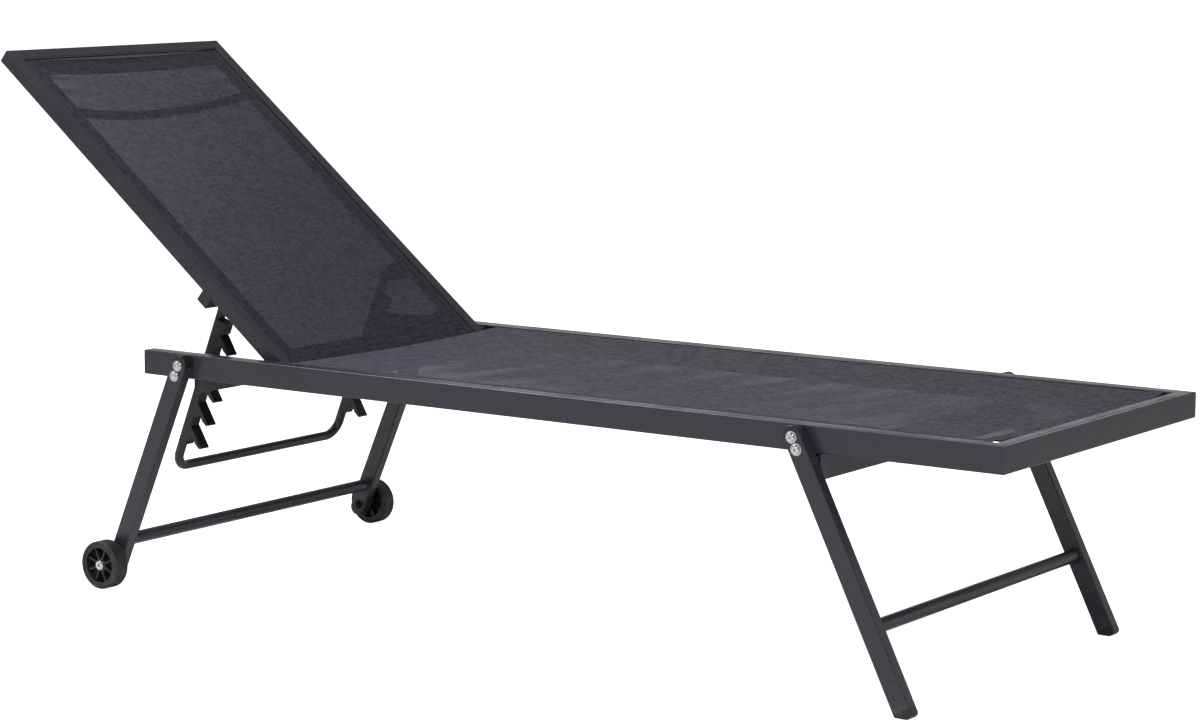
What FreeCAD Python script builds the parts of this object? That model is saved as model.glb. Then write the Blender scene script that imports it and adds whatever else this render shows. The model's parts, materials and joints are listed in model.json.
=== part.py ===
"""Reclining sun lounger: tube frame, fabric slings, two wheels and a propped, reclining back.

Millimetres. +X points to the foot end, +Y to the user's left, +Z up. The origin is on the
ground under the middle of the overall box. Each piece is written to parts/NODE.step.
"""
import FreeCAD, Part
import math
import os

V = FreeCAD.Vector

# ---- Driving dimensions -------------------------------------------------------------------
FRAME_LENGTH = 1510.0       # side rails, foot end to head end
FRAME_WIDTH = 590.0         # outside the side rails
DECK_HEIGHT = 380.0         # top of the side rails above the ground
RAIL_WIDTH = 25.0
RAIL_HEIGHT = 38.0
WALL = 1.3                  # wall of every tube
CORNER = 2.0                # outside corner radius of the rails and legs
THIN_CORNER = 1.5           # and of the back tubes and crossbars

HINGE_FROM_FOOT = 1274.0    # back hinge axis, measured from the foot end
BACK_LENGTH = 736.0         # hinge axis to the top of the back frame
BACK_WIDTH = 507.0          # outside the back's side tubes
BACK_TUBE_WIDTH = 20.0
BACK_TUBE_DEPTH = 23.0
BACK_TAIL = 18.0            # side tube beyond the hinge axis
REST_ANGLE = 38.5           # back above level in the modelled pose, degrees

LEG_DEPTH = 28.0            # leg tube seen from the side
LEG_WIDTH = 20.0            # leg tube across the lounger
FRONT_LEG_FROM_FOOT = 313.5
FRONT_LEG_ANGLE = 26.5      # splay towards the foot end, degrees
FRONT_TUBE_END = 10.3       # centre of the front leg tube's lower end, above the ground
REAR_LEG_FROM_FOOT = 1423.8
REAR_LEG_ANGLE = 23.4       # splay towards the head end, degrees
LEG_BOLT_STEPS = (2.0, 20.0)    # bolts, measured down the leg from its cap centre
BOLT_RADIUS = 3.0

WHEEL_RADIUS = 38.0
WHEEL_WIDTH = 28.0
WHEEL_GAP = 7.0             # leg to wheel, filled by a spacer
AXLE_RADIUS = 4.0
AXLE_OVERHANG = 6.0         # rear leg tube beyond the axle
RIM_INSET = 1.0             # rim faces inside the tyre's faces
HUB_RECESS = 3.0            # ribs and outer hub face below the rim's faces
SPOKES = 8

CROSS_TUBE_RADIUS = 10.0
FRONT_CROSS_HEIGHT = 115.0
REAR_CROSS_HEIGHT = 74.0
CROSSBAR_HEIGHT = 38.0      # box crossbar under the rails beside the front legs
CROSSBAR_FROM_FOOT = 293.0
SEAT_BAR_FROM_FOOT = 1214.0
SEAT_BAR_DROP = 26.0        # axis below the rail tops
CATCH_FROM_FOOT = 1404.0    # catch bar that the rack hooks drop onto
CATCH_WIDTH = 18.0
CATCH_HEIGHT = 20.0

KEDER_RADIUS = 2.5          # rod sewn into each sling edge
CHANNEL_RADIUS = 3.2        # groove in the tube that holds the rod
CHANNEL_INSET = 5.2         # channel centre from the tube's inner face
CHANNEL_DEPTH = 4.6         # channel centre below the tube's top face
RAIL_BLOCK = (10.8, 12.0)   # width and depth of the rail's corner that is left round its channel
BACK_BLOCK = (10.0, 11.5)   # and of the back tube's
SLOT_HEIGHT = 2.4
SLING_THICKNESS = 1.2
SEAT_SLING_FOOT_GAP = 8.0
SEAT_SLING_HEAD_GAP = 36.0  # hinge axis to the seat sling's head edge
BACK_SLING_START = -12.0    # the back sling runs on past the hinge axis
BACK_SLING_TOP_GAP = 3.0

SUPPORT_STEP = 175.5        # prop pivot along the back from the hinge axis
SUPPORT_DROP = 22.0         # prop pivot behind the side tubes' middle plane
SUPPORT_TILT = 21.6         # prop from upright in the modelled pose, degrees
SUPPORT_LENGTH = 304.0      # pivot to the axis of the lower bar
SUPPORT_HALF_WIDTH = 200.0
SUPPORT_RADIUS = 7.5
SUPPORT_BEND = 26.0
SUPPORT_PIN_RADIUS = 3.0

HOOKS = 5
HOOK_FIRST = 81.0           # first hook tip down the prop from its pivot
HOOK_PITCH = 41.6
HOOK_REACH = 45.0
RACK_DEPTH = 20.0
RACK_TOP = 37.0
RACK_END = 256.0

BOW_STEP = 608.0            # bowed bar behind the head, along the back
BOW_BACK = 32.0
BENT_STEP = 60.0            # bent bar near the hinge, along the back
BENT_BACK = 46.0
BENT_HALF_FLAT = 165.0
BACK_BAR_RADIUS = 7.5

RUNNING_GAP = 0.05          # radial clearance of a pin in its bore
FACE_GAP = 0.3              # clearance between faces that slide past each other
PLUG_SLACK = 0.2            # clearance of a plug's tongue in its tube
NUT_TAIL = 1.5              # thread that stands out of a nut

# ---- Places worked out from them ----------------------------------------------------------
ANGLE = math.radians(REST_ANGLE)
HEAD_REACH = ((BACK_LENGTH - THIN_CORNER) * math.cos(ANGLE)
              + (BACK_TUBE_DEPTH / 2 - THIN_CORNER) * math.sin(ANGLE) + THIN_CORNER)
FOOT_X = (HINGE_FROM_FOOT + HEAD_REACH) / 2
HEAD_X = FOOT_X - FRAME_LENGTH
HINGE_X = FOOT_X - HINGE_FROM_FOOT
HINGE_Z = DECK_HEIGHT - BACK_TUBE_DEPTH / 2
OUTER_Y = FRAME_WIDTH / 2
INNER_Y = OUTER_Y - RAIL_WIDTH
RAIL_BOTTOM = DECK_HEIGHT - RAIL_HEIGHT
LEG_OUT = OUTER_Y + LEG_WIDTH
BACK_OUT = BACK_WIDTH / 2
BACK_IN = BACK_OUT - BACK_TUBE_WIDTH
BACK_FRONT = BACK_TUBE_DEPTH / 2
CAP_RADIUS = LEG_DEPTH / 2
WHEEL_IN = LEG_OUT + WHEEL_GAP
WHEEL_OUT = WHEEL_IN + WHEEL_WIDTH

nodes = {}


# ---- Helpers ------------------------------------------------------------------------------
def box(x0, x1, y0, y1, z0, z1):
    return Part.makeBox(x1 - x0, y1 - y0, z1 - z0, V(x0, y0, z0))


def soft_box(x0, x1, y0, y1, z0, z1, along, radius):
    """Box whose four edges along one axis are rounded, as on drawn tube."""
    shape = box(x0, x1, y0, y1, z0, z1)
    axis = V(*along)
    edges = [e for e in shape.Edges if abs(e.tangentAt(e.FirstParameter).dot(axis)) > 0.99]
    return shape.makeFillet(radius, edges)


def rod_y(x, z, y0, y1, radius):
    """Cylinder along Y from y0 to y1."""
    return Part.makeCylinder(radius, y1 - y0, V(x, y0, z), V(0, 1, 0))


def rod_x(y, z, x0, x1, radius):
    return Part.makeCylinder(radius, x1 - x0, V(x0, y, z), V(1, 0, 0))


def prism(points, direction):
    """Closed outline swept straight along a vector."""
    corners = [V(*p) for p in points]
    return Part.Face(Part.makePolygon(corners + [corners[0]])).extrude(V(*direction))


def hexagon_y(x, z, y0, y1, across_flats):
    radius = across_flats / math.sqrt(3)
    turns = [math.radians(60 * i) for i in range(6)]
    return prism([(x + radius * math.cos(a), y0, z + radius * math.sin(a)) for a in turns],
                 (0, y1 - y0, 0))


def bent_wire(points, bend):
    """Straight runs joined by tangent arcs of one radius."""
    points = [V(*p) for p in points]
    edges, start = [], points[0]
    for before, corner, after in zip(points, points[1:], points[2:]):
        a = (before - corner).normalize()
        b = (after - corner).normalize()
        half = a.getAngle(b) / 2
        run = bend / math.tan(half)
        middle = (a + b).normalize() * (bend / math.sin(half) - bend)
        edges.append(Part.LineSegment(start, corner + a * run).toShape())
        edges.append(Part.Arc(corner + a * run, corner + middle, corner + b * run).toShape())
        start = corner + b * run
    edges.append(Part.LineSegment(start, points[-1]).toShape())
    return Part.Wire(edges)


def round_bar(wire, radius):
    """Solid round bar along a wire."""
    first = wire.OrderedEdges[0]
    place = first.valueAt(first.FirstParameter)
    along = first.tangentAt(first.FirstParameter)
    ring = Part.Wire([Part.makeCircle(radius, place, along)])
    return wire.makePipeShell([ring], True, False)


def mirrored(shape):
    return shape.mirror(V(0, 0, 0), V(0, 1, 0))


def turned(shape, degrees, x, z):
    """Turn a shape about the Y axis at its own origin, then carry it to x, z."""
    moved = shape.copy()
    moved.rotate(V(0, 0, 0), V(0, 1, 0), degrees)
    moved.translate(V(x, 0, z))
    return moved


def add(name, *shapes):
    """Keep a node; several shapes stay separate solids."""
    solids = [solid for shape in shapes for solid in shape.Solids]
    nodes[name] = solids[0] if len(solids) == 1 else Part.makeCompound(solids)


def add_pair(name, left):
    """Keep a left piece and its mirror image as two nodes."""
    add(name + "_left", left)
    add(name + "_right", mirrored(left))


def add_group(name, left_shapes):
    """Keep identical pieces of both sides as one node."""
    add(name, *left_shapes, *[mirrored(shape) for shape in left_shapes])


# ---- Legs ---------------------------------------------------------------------------------
def leg_step(splay, height):
    """Distance down a splayed leg from its top cap's centre to a height above the ground."""
    return (DECK_HEIGHT - CAP_RADIUS - height) / math.cos(math.radians(splay))


class Leg:
    """A square-cut tube leg, bolted outside the rail, with a round cap at its top."""

    def __init__(self, from_foot, splay, length):
        self.x = FOOT_X - from_foot
        self.z = DECK_HEIGHT - CAP_RADIUS
        self.splay = splay
        self.length = length

    def place(self, step):
        """X and Z of a point on the leg's centre line, step mm below its top cap's centre."""
        lean = math.radians(self.splay)
        return self.x + step * math.sin(lean), self.z - step * math.cos(lean)

    def step_at(self, height):
        return leg_step(self.splay, height)

    def upright(self, shape):
        return turned(shape, -self.splay, self.x, self.z)

    def bolt_holes(self, radius=BOLT_RADIUS):
        y0, y1 = INNER_Y - 20, LEG_OUT + 20
        return [rod_y(*self.place(step), y0, y1, radius) for step in LEG_BOLT_STEPS]

    def tube(self):
        outer = soft_box(-CAP_RADIUS, CAP_RADIUS, OUTER_Y, LEG_OUT, -self.length, 0, (0, 0, 1), CORNER)
        inner = box(WALL - CAP_RADIUS, CAP_RADIUS - WALL, OUTER_Y + WALL, LEG_OUT - WALL,
                    -self.length, 0)
        return self.upright(outer.cut(inner))

    def cap(self, at_top):
        """Half-round cap with a plug that goes into the tube."""
        plug_length, slack = 9.0, 0.5
        disc = rod_y(0, 0, OUTER_Y, LEG_OUT, CAP_RADIUS)
        disc = disc.makeFillet(CORNER, [e for e in disc.Edges if len(e.Vertexes) == 1])
        half = disc.common(box(-CAP_RADIUS, CAP_RADIUS, OUTER_Y, LEG_OUT, 0, CAP_RADIUS))
        inset = WALL + slack
        plug = box(inset - CAP_RADIUS, CAP_RADIUS - inset, OUTER_Y + inset, LEG_OUT - inset,
                   -plug_length, 0)
        cap = half.fuse(plug).removeSplitter()
        if not at_top:
            cap.rotate(V(0, 0, 0), V(0, 1, 0), 180)
            cap.translate(V(0, 0, -self.length))
        return self.upright(cap)

    def foot(self):
        """Block that carries the tube's outline on down to the ground, with its plug."""
        plug_length, slack, toe_round, heel_round = 9.0, 0.5, 8.0, 4.0
        sides = (-CAP_RADIUS, CAP_RADIUS, OUTER_Y, LEG_OUT, -self.length - LEG_DEPTH, -self.length)
        ground = box(HEAD_X, FOOT_X, OUTER_Y - 1, LEG_OUT + 1, -LEG_DEPTH, 0)
        block = self.upright(box(*sides)).cut(ground)
        for radius, place in ((toe_round, -1), (heel_round, 0)):
            across = [e for e in block.Edges
                      if e.BoundBox.ZMax < 0.1 and e.BoundBox.YLength > LEG_WIDTH - 1]
            across.sort(key=lambda e: e.BoundBox.XMin)
            block = block.makeFillet(radius, [across[place]])
        block = block.common(self.upright(soft_box(*sides, (0, 0, 1), CORNER)))
        inset = WALL + slack
        plug = box(inset - CAP_RADIUS, CAP_RADIUS - inset, OUTER_Y + inset, LEG_OUT - inset,
                   -self.length, plug_length - self.length)
        return block.fuse(self.upright(plug)).removeSplitter()


AXLE_STEP = leg_step(REAR_LEG_ANGLE, WHEEL_RADIUS)
FRONT_LEG = Leg(FRONT_LEG_FROM_FOOT, FRONT_LEG_ANGLE, leg_step(FRONT_LEG_ANGLE, FRONT_TUBE_END))
REAR_LEG = Leg(REAR_LEG_FROM_FOOT, -REAR_LEG_ANGLE, AXLE_STEP + AXLE_OVERHANG)
AXLE_X, AXLE_Z = REAR_LEG.place(AXLE_STEP)


def leg_bolt(x, z):
    """Button-head bolt with a hex socket, its washer and its nut."""
    washer_radius, washer_thick = 8.5, 1.2
    head_radius, head_height, head_round = 6.5, 3.6, 2.2
    socket_flats, socket_depth = 4.0, 2.0
    nut_flats, nut_height = 10.0, 5.0
    seat = LEG_OUT + washer_thick
    washer = rod_y(x, z, LEG_OUT, seat, washer_radius).cut(
        rod_y(x, z, LEG_OUT, seat, BOLT_RADIUS))
    head = rod_y(x, z, seat, seat + head_height, head_radius)
    rim = [e for e in head.Edges if e.BoundBox.YMin > seat + head_height - 0.1]
    head = head.makeFillet(head_round, rim)
    top = seat + head_height
    head = head.cut(hexagon_y(x, z, top - socket_depth, top, socket_flats))
    bolt = head.fuse(rod_y(x, z, INNER_Y - nut_height - NUT_TAIL, seat, BOLT_RADIUS))
    nut = hexagon_y(x, z, INNER_Y - nut_height, INNER_Y, nut_flats)
    nut = nut.cut(rod_y(x, z, INNER_Y - nut_height, INNER_Y, BOLT_RADIUS))
    return bolt, washer, nut


def build_legs():
    axle_hole = rod_y(AXLE_X, AXLE_Z, INNER_Y, WHEEL_OUT, AXLE_RADIUS)
    for name, leg in (("front_leg", FRONT_LEG), ("rear_leg", REAR_LEG)):
        add_pair(name, leg.tube().cut(leg.bolt_holes() + [axle_hole]))
    top_caps = [leg.cap(True).cut(leg.bolt_holes()) for leg in (FRONT_LEG, REAR_LEG)]
    add_group("leg_top_caps", top_caps)
    add_group("front_foot_caps", [FRONT_LEG.foot()])
    add_group("rear_leg_caps", [REAR_LEG.cap(False).cut(axle_hole)])
    places = [leg.place(step) for leg in (FRONT_LEG, REAR_LEG) for step in LEG_BOLT_STEPS]
    fasteners = [leg_bolt(x, z) for x, z in places]
    for index, name in enumerate(("leg_bolts", "leg_bolt_washers", "leg_bolt_nuts")):
        add_group(name, [fastener[index] for fastener in fasteners])
    for name, leg, height in (("front_cross_tube", FRONT_LEG, FRONT_CROSS_HEIGHT),
                              ("rear_cross_tube", REAR_LEG, REAR_CROSS_HEIGHT)):
        x, z = leg.place(leg.step_at(height))
        outer = rod_y(x, z, -OUTER_Y, OUTER_Y, CROSS_TUBE_RADIUS)
        add(name, outer.cut(rod_y(x, z, -OUTER_Y, OUTER_Y, CROSS_TUBE_RADIUS - WALL)))


# ---- Seat frame ---------------------------------------------------------------------------
def rail_bar(x0, x1):
    """Left side rail: box tube with a keder channel at its inner top edge."""
    top_wall = 2.4
    groove_inset, groove_width, groove_depth = 8.0, 1.4, 1.2
    outer = soft_box(x0, x1, INNER_Y, OUTER_Y, RAIL_BOTTOM, DECK_HEIGHT, (1, 0, 0), CORNER)
    block_y, block_z = INNER_Y + RAIL_BLOCK[0], DECK_HEIGHT - RAIL_BLOCK[1]
    out_y, in_y = OUTER_Y - WALL, INNER_Y + WALL
    low_z, high_z = RAIL_BOTTOM + WALL, DECK_HEIGHT - top_wall
    cavity = prism([(x0, out_y, low_z), (x0, in_y, low_z), (x0, in_y, block_z),
                    (x0, block_y, block_z), (x0, block_y, high_z), (x0, out_y, high_z)],
                   (x1 - x0, 0, 0))
    channel_y, channel_z = INNER_Y + CHANNEL_INSET, DECK_HEIGHT - CHANNEL_DEPTH
    channel = rod_x(channel_y, channel_z, x0, x1, CHANNEL_RADIUS)
    slot = box(x0, x1, INNER_Y, channel_y, channel_z - SLOT_HEIGHT / 2, channel_z + SLOT_HEIGHT / 2)
    groove_y = OUTER_Y - groove_inset
    groove = box(x0, x1, groove_y - groove_width, groove_y, DECK_HEIGHT - groove_depth, DECK_HEIGHT)
    return outer.cut([cavity, channel.fuse(slot), groove])


def rail_plug():
    """End plug of the rail: a flange and a tongue in the hollow below the keder channel."""
    flange, tongue = 2.5, 18.0
    plate = soft_box(HEAD_X - flange, HEAD_X, INNER_Y, OUTER_Y, RAIL_BOTTOM, DECK_HEIGHT,
                     (1, 0, 0), CORNER)
    inset = WALL + PLUG_SLACK
    body = box(HEAD_X, HEAD_X + tongue, INNER_Y + inset, OUTER_Y - inset,
               RAIL_BOTTOM + inset, DECK_HEIGHT - RAIL_BLOCK[1] - PLUG_SLACK)
    return plate.fuse(body)


def build_seat_frame():
    over = 1.0
    depth = (0, 0, RAIL_HEIGHT + 2 * over)
    low = RAIL_BOTTOM - over
    miter = RAIL_WIDTH + over
    corner = (FOOT_X + over, OUTER_Y + over, low)
    inside = (FOOT_X - miter, INNER_Y - over, low)
    foot_side = prism([corner, (corner[0], inside[1], low), inside], depth)
    rail_side = prism([corner, (inside[0], corner[1], low), inside], depth)
    holes = FRONT_LEG.bolt_holes() + REAR_LEG.bolt_holes() + [hinge_shank(AXLE_RADIUS)]
    add_pair("side_rail", rail_bar(HEAD_X, FOOT_X).cut([foot_side] + holes))

    foot = rail_bar(-OUTER_Y, OUTER_Y)
    foot.rotate(V(0, 0, 0), V(0, 0, 1), -90)
    foot.translate(V(FOOT_X - OUTER_Y, 0, 0))
    add("foot_rail", foot.cut([rail_side, mirrored(rail_side)]))
    add_group("rail_end_plugs", [rail_plug()])

    x, half, end_inset = FOOT_X - CROSSBAR_FROM_FOOT, RAIL_WIDTH / 2, 5.0
    add("front_crossbar", box_crossbar(x, half, CROSSBAR_HEIGHT, OUTER_Y - end_inset))
    x = FOOT_X - CATCH_FROM_FOOT
    add("catch_bar", box_crossbar(x, CATCH_WIDTH / 2, CATCH_HEIGHT, OUTER_Y - end_inset))
    x, z = FOOT_X - SEAT_BAR_FROM_FOOT, DECK_HEIGHT - SEAT_BAR_DROP
    outer = rod_y(x, z, -INNER_Y, INNER_Y, CROSS_TUBE_RADIUS)
    add("seat_head_bar", outer.cut(rod_y(x, z, -INNER_Y, INNER_Y, CROSS_TUBE_RADIUS - WALL)))


def box_crossbar(x, half, height, reach):
    """Box tube under both rails, closed by a plate at each end."""
    outer = soft_box(x - half, x + half, -reach, reach, RAIL_BOTTOM - height, RAIL_BOTTOM,
                     (0, 1, 0), THIN_CORNER)
    inner = box(x - half + WALL, x + half - WALL, WALL - reach, reach - WALL,
                RAIL_BOTTOM - height + WALL, RAIL_BOTTOM - WALL)
    return outer.cut(inner)


# ---- Wheels -------------------------------------------------------------------------------
def wheel_body():
    """Left plastic wheel: hub, thin web, ribs and rim."""
    rim_in, rim_out, hub_radius, rib, web = 27.5, 32.0, 10.5, 2.6, 3.0
    y0, y1 = WHEEL_IN + RIM_INSET, WHEEL_OUT - RIM_INSET
    middle = (y0 + y1) / 2
    rim = rod_y(0, 0, y0, y1, rim_out).cut(rod_y(0, 0, y0, y1, rim_in))
    disc = rod_y(0, 0, middle - web / 2, middle + web / 2, rim_in + 1)
    hub = rod_y(0, 0, WHEEL_IN + FACE_GAP, y1 - HUB_RECESS, hub_radius)
    shape = rim.fuse([disc, hub])
    for index in range(SPOKES):
        spoke = box(hub_radius - 1, rim_in + 1, y0 + HUB_RECESS, y1 - HUB_RECESS, -rib / 2, rib / 2)
        spoke.rotate(V(0, 0, 0), V(0, 1, 0), 360 / SPOKES * (index + 0.5))
        shape = shape.fuse(spoke)
    bore = rod_y(0, 0, WHEEL_IN - 1, WHEEL_OUT + 1, AXLE_RADIUS + RUNNING_GAP)
    shape = shape.removeSplitter().cut(bore)
    shape.translate(V(AXLE_X, 0, AXLE_Z))
    return shape


def tyre():
    rim_out, shoulder = 32.0, 3.5
    ring = rod_y(0, 0, WHEEL_IN, WHEEL_OUT, WHEEL_RADIUS)
    ring = ring.makeFillet(shoulder, [e for e in ring.Edges if len(e.Vertexes) == 1])
    ring = ring.cut(rod_y(0, 0, WHEEL_IN - 1, WHEEL_OUT + 1, rim_out))
    ring.translate(V(AXLE_X, 0, AXLE_Z))
    return ring


def build_wheels():
    add_pair("wheel", wheel_body())
    add_pair("tyre", tyre())
    head_radius, head_height, head_round = 8.0, 3.6, 2.4
    socket_flats, socket_depth = 5.0, 2.0
    nut_flats, nut_height, spacer_radius = 13.0, 6.5, 8.0
    dome_radius, dome_height, dome_round = 5.5, 4.0, 2.0
    seat = WHEEL_OUT - RIM_INSET - HUB_RECESS + FACE_GAP
    head = rod_y(AXLE_X, AXLE_Z, seat, seat + head_height, head_radius)
    head = head.makeFillet(head_round, [e for e in head.Edges if e.BoundBox.YMin > seat + 1
                                        and len(e.Vertexes) == 1])
    top = seat + head_height
    head = head.cut(hexagon_y(AXLE_X, AXLE_Z, top - socket_depth, top, socket_flats))
    shank = rod_y(AXLE_X, AXLE_Z, OUTER_Y - nut_height - NUT_TAIL, seat, AXLE_RADIUS)
    add_group("axle_bolts", [head.fuse(shank)])
    nut_end = OUTER_Y - nut_height
    nut = hexagon_y(AXLE_X, AXLE_Z, nut_end, OUTER_Y, nut_flats)
    dome = rod_y(AXLE_X, AXLE_Z, nut_end - dome_height, nut_end, dome_radius)
    dome = dome.makeFillet(dome_round, [e for e in dome.Edges if e.BoundBox.YMax < nut_end - 1])
    add_group("axle_nuts", [nut.fuse(dome).cut(shank)])
    spacer = rod_y(AXLE_X, AXLE_Z, LEG_OUT, WHEEL_IN, spacer_radius)
    add_group("axle_spacers", [spacer.cut(shank)])


# ---- Back frame, modelled level and then turned to the rest angle -------------------------
# In its own space the hinge axis is the origin, -X runs up the back and +Z is the front face.
def raised(shape):
    return turned(shape, REST_ANGLE, HINGE_X, HINGE_Z)


def back_point(step, behind):
    """X and Z of a point given by its step up the back and its depth behind the tubes' middle."""
    x = HINGE_X - step * math.cos(ANGLE) - behind * math.sin(ANGLE)
    z = HINGE_Z + step * math.sin(ANGLE) - behind * math.cos(ANGLE)
    return x, z


def back_bar(x0, x1):
    """Left back tube with its keder channel in the inner face."""
    outer = soft_box(x0, x1, BACK_IN, BACK_OUT, -BACK_FRONT, BACK_FRONT, (1, 0, 0), THIN_CORNER)
    block_y, block_z = BACK_IN + BACK_BLOCK[0], BACK_FRONT - BACK_BLOCK[1]
    out_y, in_y, high_z = BACK_OUT - WALL, BACK_IN + WALL, BACK_FRONT - WALL
    cavity = prism([(x0, out_y, -high_z), (x0, in_y, -high_z), (x0, in_y, block_z),
                    (x0, block_y, block_z), (x0, block_y, high_z), (x0, out_y, high_z)],
                   (x1 - x0, 0, 0))
    channel_y, channel_z = BACK_IN + CHANNEL_INSET, BACK_FRONT - CHANNEL_DEPTH
    channel = rod_x(channel_y, channel_z, x0, x1, CHANNEL_RADIUS)
    slot = box(x0, x1, BACK_IN, channel_y, channel_z - SLOT_HEIGHT / 2, channel_z + SLOT_HEIGHT / 2)
    return outer.cut([cavity, channel.fuse(slot)])


def hinge_shank(radius):
    """Cylinder that cuts the hinge pin's hole in whatever it passes."""
    return rod_y(HINGE_X, HINGE_Z, BACK_IN, INNER_Y + RAIL_WIDTH / 2 + NUT_TAIL, radius)


def build_back_frame():
    over = 1.0
    low = -BACK_FRONT - over
    depth = (0, 0, BACK_TUBE_DEPTH + 2 * over)
    corner = (-BACK_LENGTH - over, BACK_OUT + over, low)
    inside = (-BACK_LENGTH + BACK_TUBE_WIDTH + over, BACK_IN - over, low)
    top_side = prism([corner, (corner[0], inside[1], low), inside], depth)
    tube_side = prism([corner, (inside[0], corner[1], low), inside], depth)
    running = rod_y(0, 0, BACK_IN + BACK_BLOCK[0], BACK_OUT + 1, AXLE_RADIUS + RUNNING_GAP)
    add_pair("back_side_tube", raised(back_bar(-BACK_LENGTH, BACK_TAIL).cut([top_side, running])))

    top = back_bar(-BACK_OUT, BACK_OUT)
    top.rotate(V(0, 0, 0), V(0, 0, 1), 90)
    top.translate(V(BACK_OUT - BACK_LENGTH, 0, 0))
    add("back_top_tube", raised(top.cut([tube_side, mirrored(tube_side)])))

    flange, tongue, inset = 2.5, 10.0, WALL + PLUG_SLACK
    plate = soft_box(BACK_TAIL, BACK_TAIL + flange, BACK_IN, BACK_OUT, -BACK_FRONT, BACK_FRONT,
                     (1, 0, 0), THIN_CORNER)
    body = box(BACK_TAIL - tongue, BACK_TAIL, BACK_IN + inset, BACK_OUT - inset,
               inset - BACK_FRONT, BACK_FRONT - BACK_BLOCK[1] - PLUG_SLACK)
    add_group("back_tube_plugs", [raised(plate.fuse(body))])

    between = box(-BACK_LENGTH, 0, -BACK_IN, BACK_IN, -BACK_LENGTH, BACK_LENGTH)
    end_z, bend = -2.0, 30.0
    end_y = BACK_IN + 4.0       # run past the tube's face, then cut off flush with it
    arc = Part.Arc(V(-BOW_STEP, -end_y, end_z), V(-BOW_STEP, 0, -BOW_BACK),
                   V(-BOW_STEP, end_y, end_z)).toShape()
    add("back_bow_bar", raised(round_bar(Part.Wire([arc]), BACK_BAR_RADIUS).common(between)))
    bent = bent_wire([(-BENT_STEP, -end_y, end_z), (-BENT_STEP, -BENT_HALF_FLAT, -BENT_BACK),
                      (-BENT_STEP, BENT_HALF_FLAT, -BENT_BACK), (-BENT_STEP, end_y, end_z)], bend)
    add("back_bent_bar", raised(round_bar(bent, BACK_BAR_RADIUS).common(between)))


def build_hinges():
    """Fixed pins that the back turns on, each with a hidden head, a spacer bush and an inner nut."""
    head_radius, head_thick, web, bush_radius = 7.0, 2.4, 11.0, 9.0
    nut_flats, nut_height = 11.0, 5.0
    nut_y = BACK_OUT - WALL - FACE_GAP
    pin_end = nut_y - nut_height - NUT_TAIL
    pin = rod_y(HINGE_X, HINGE_Z, pin_end, INNER_Y + web, AXLE_RADIUS)
    head = rod_y(HINGE_X, HINGE_Z, INNER_Y + web, INNER_Y + web + head_thick, head_radius)
    add_group("hinge_pins", [pin.fuse(head)])
    bush = rod_y(HINGE_X, HINGE_Z, BACK_OUT + FACE_GAP, INNER_Y, bush_radius)
    add_group("hinge_bushes", [bush.cut(hinge_shank(AXLE_RADIUS))])
    nut = hexagon_y(HINGE_X, HINGE_Z, nut_y - nut_height, nut_y, nut_flats)
    add_group("hinge_nuts", [nut.cut(hinge_shank(AXLE_RADIUS))])


# ---- Slings -------------------------------------------------------------------------------
def build_slings():
    keder_y = INNER_Y + CHANNEL_INSET
    z = DECK_HEIGHT - CHANNEL_DEPTH
    x0 = HINGE_X + SEAT_SLING_HEAD_GAP
    x1 = FOOT_X - RAIL_WIDTH - SEAT_SLING_FOOT_GAP
    reach = keder_y - KEDER_RADIUS
    half = SLING_THICKNESS / 2
    add("seat_sling", box(x0, x1, -reach, reach, z - half, z + half))
    add_group("seat_keder_rods", [rod_x(keder_y, z, x0, x1, KEDER_RADIUS)])

    keder_y = BACK_IN + CHANNEL_INSET
    z = BACK_FRONT - CHANNEL_DEPTH
    x0 = -BACK_LENGTH + BACK_TUBE_WIDTH + BACK_SLING_TOP_GAP
    reach = keder_y - KEDER_RADIUS
    add("back_sling", raised(box(x0, -BACK_SLING_START, -reach, reach, z - half, z + half)))
    add_group("back_keder_rods", [raised(rod_x(keder_y, z, x0, -BACK_SLING_START, KEDER_RADIUS))])


# ---- Support frame, modelled upright below its pivot and then tilted ------------------------
SUPPORT_X, SUPPORT_Z = back_point(SUPPORT_STEP, SUPPORT_DROP)
BRACKET_WIDTH = 43.7        # bracket block, inwards from the back's outer face


def tilted(shape):
    return turned(shape, SUPPORT_TILT, SUPPORT_X, SUPPORT_Z)


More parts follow.
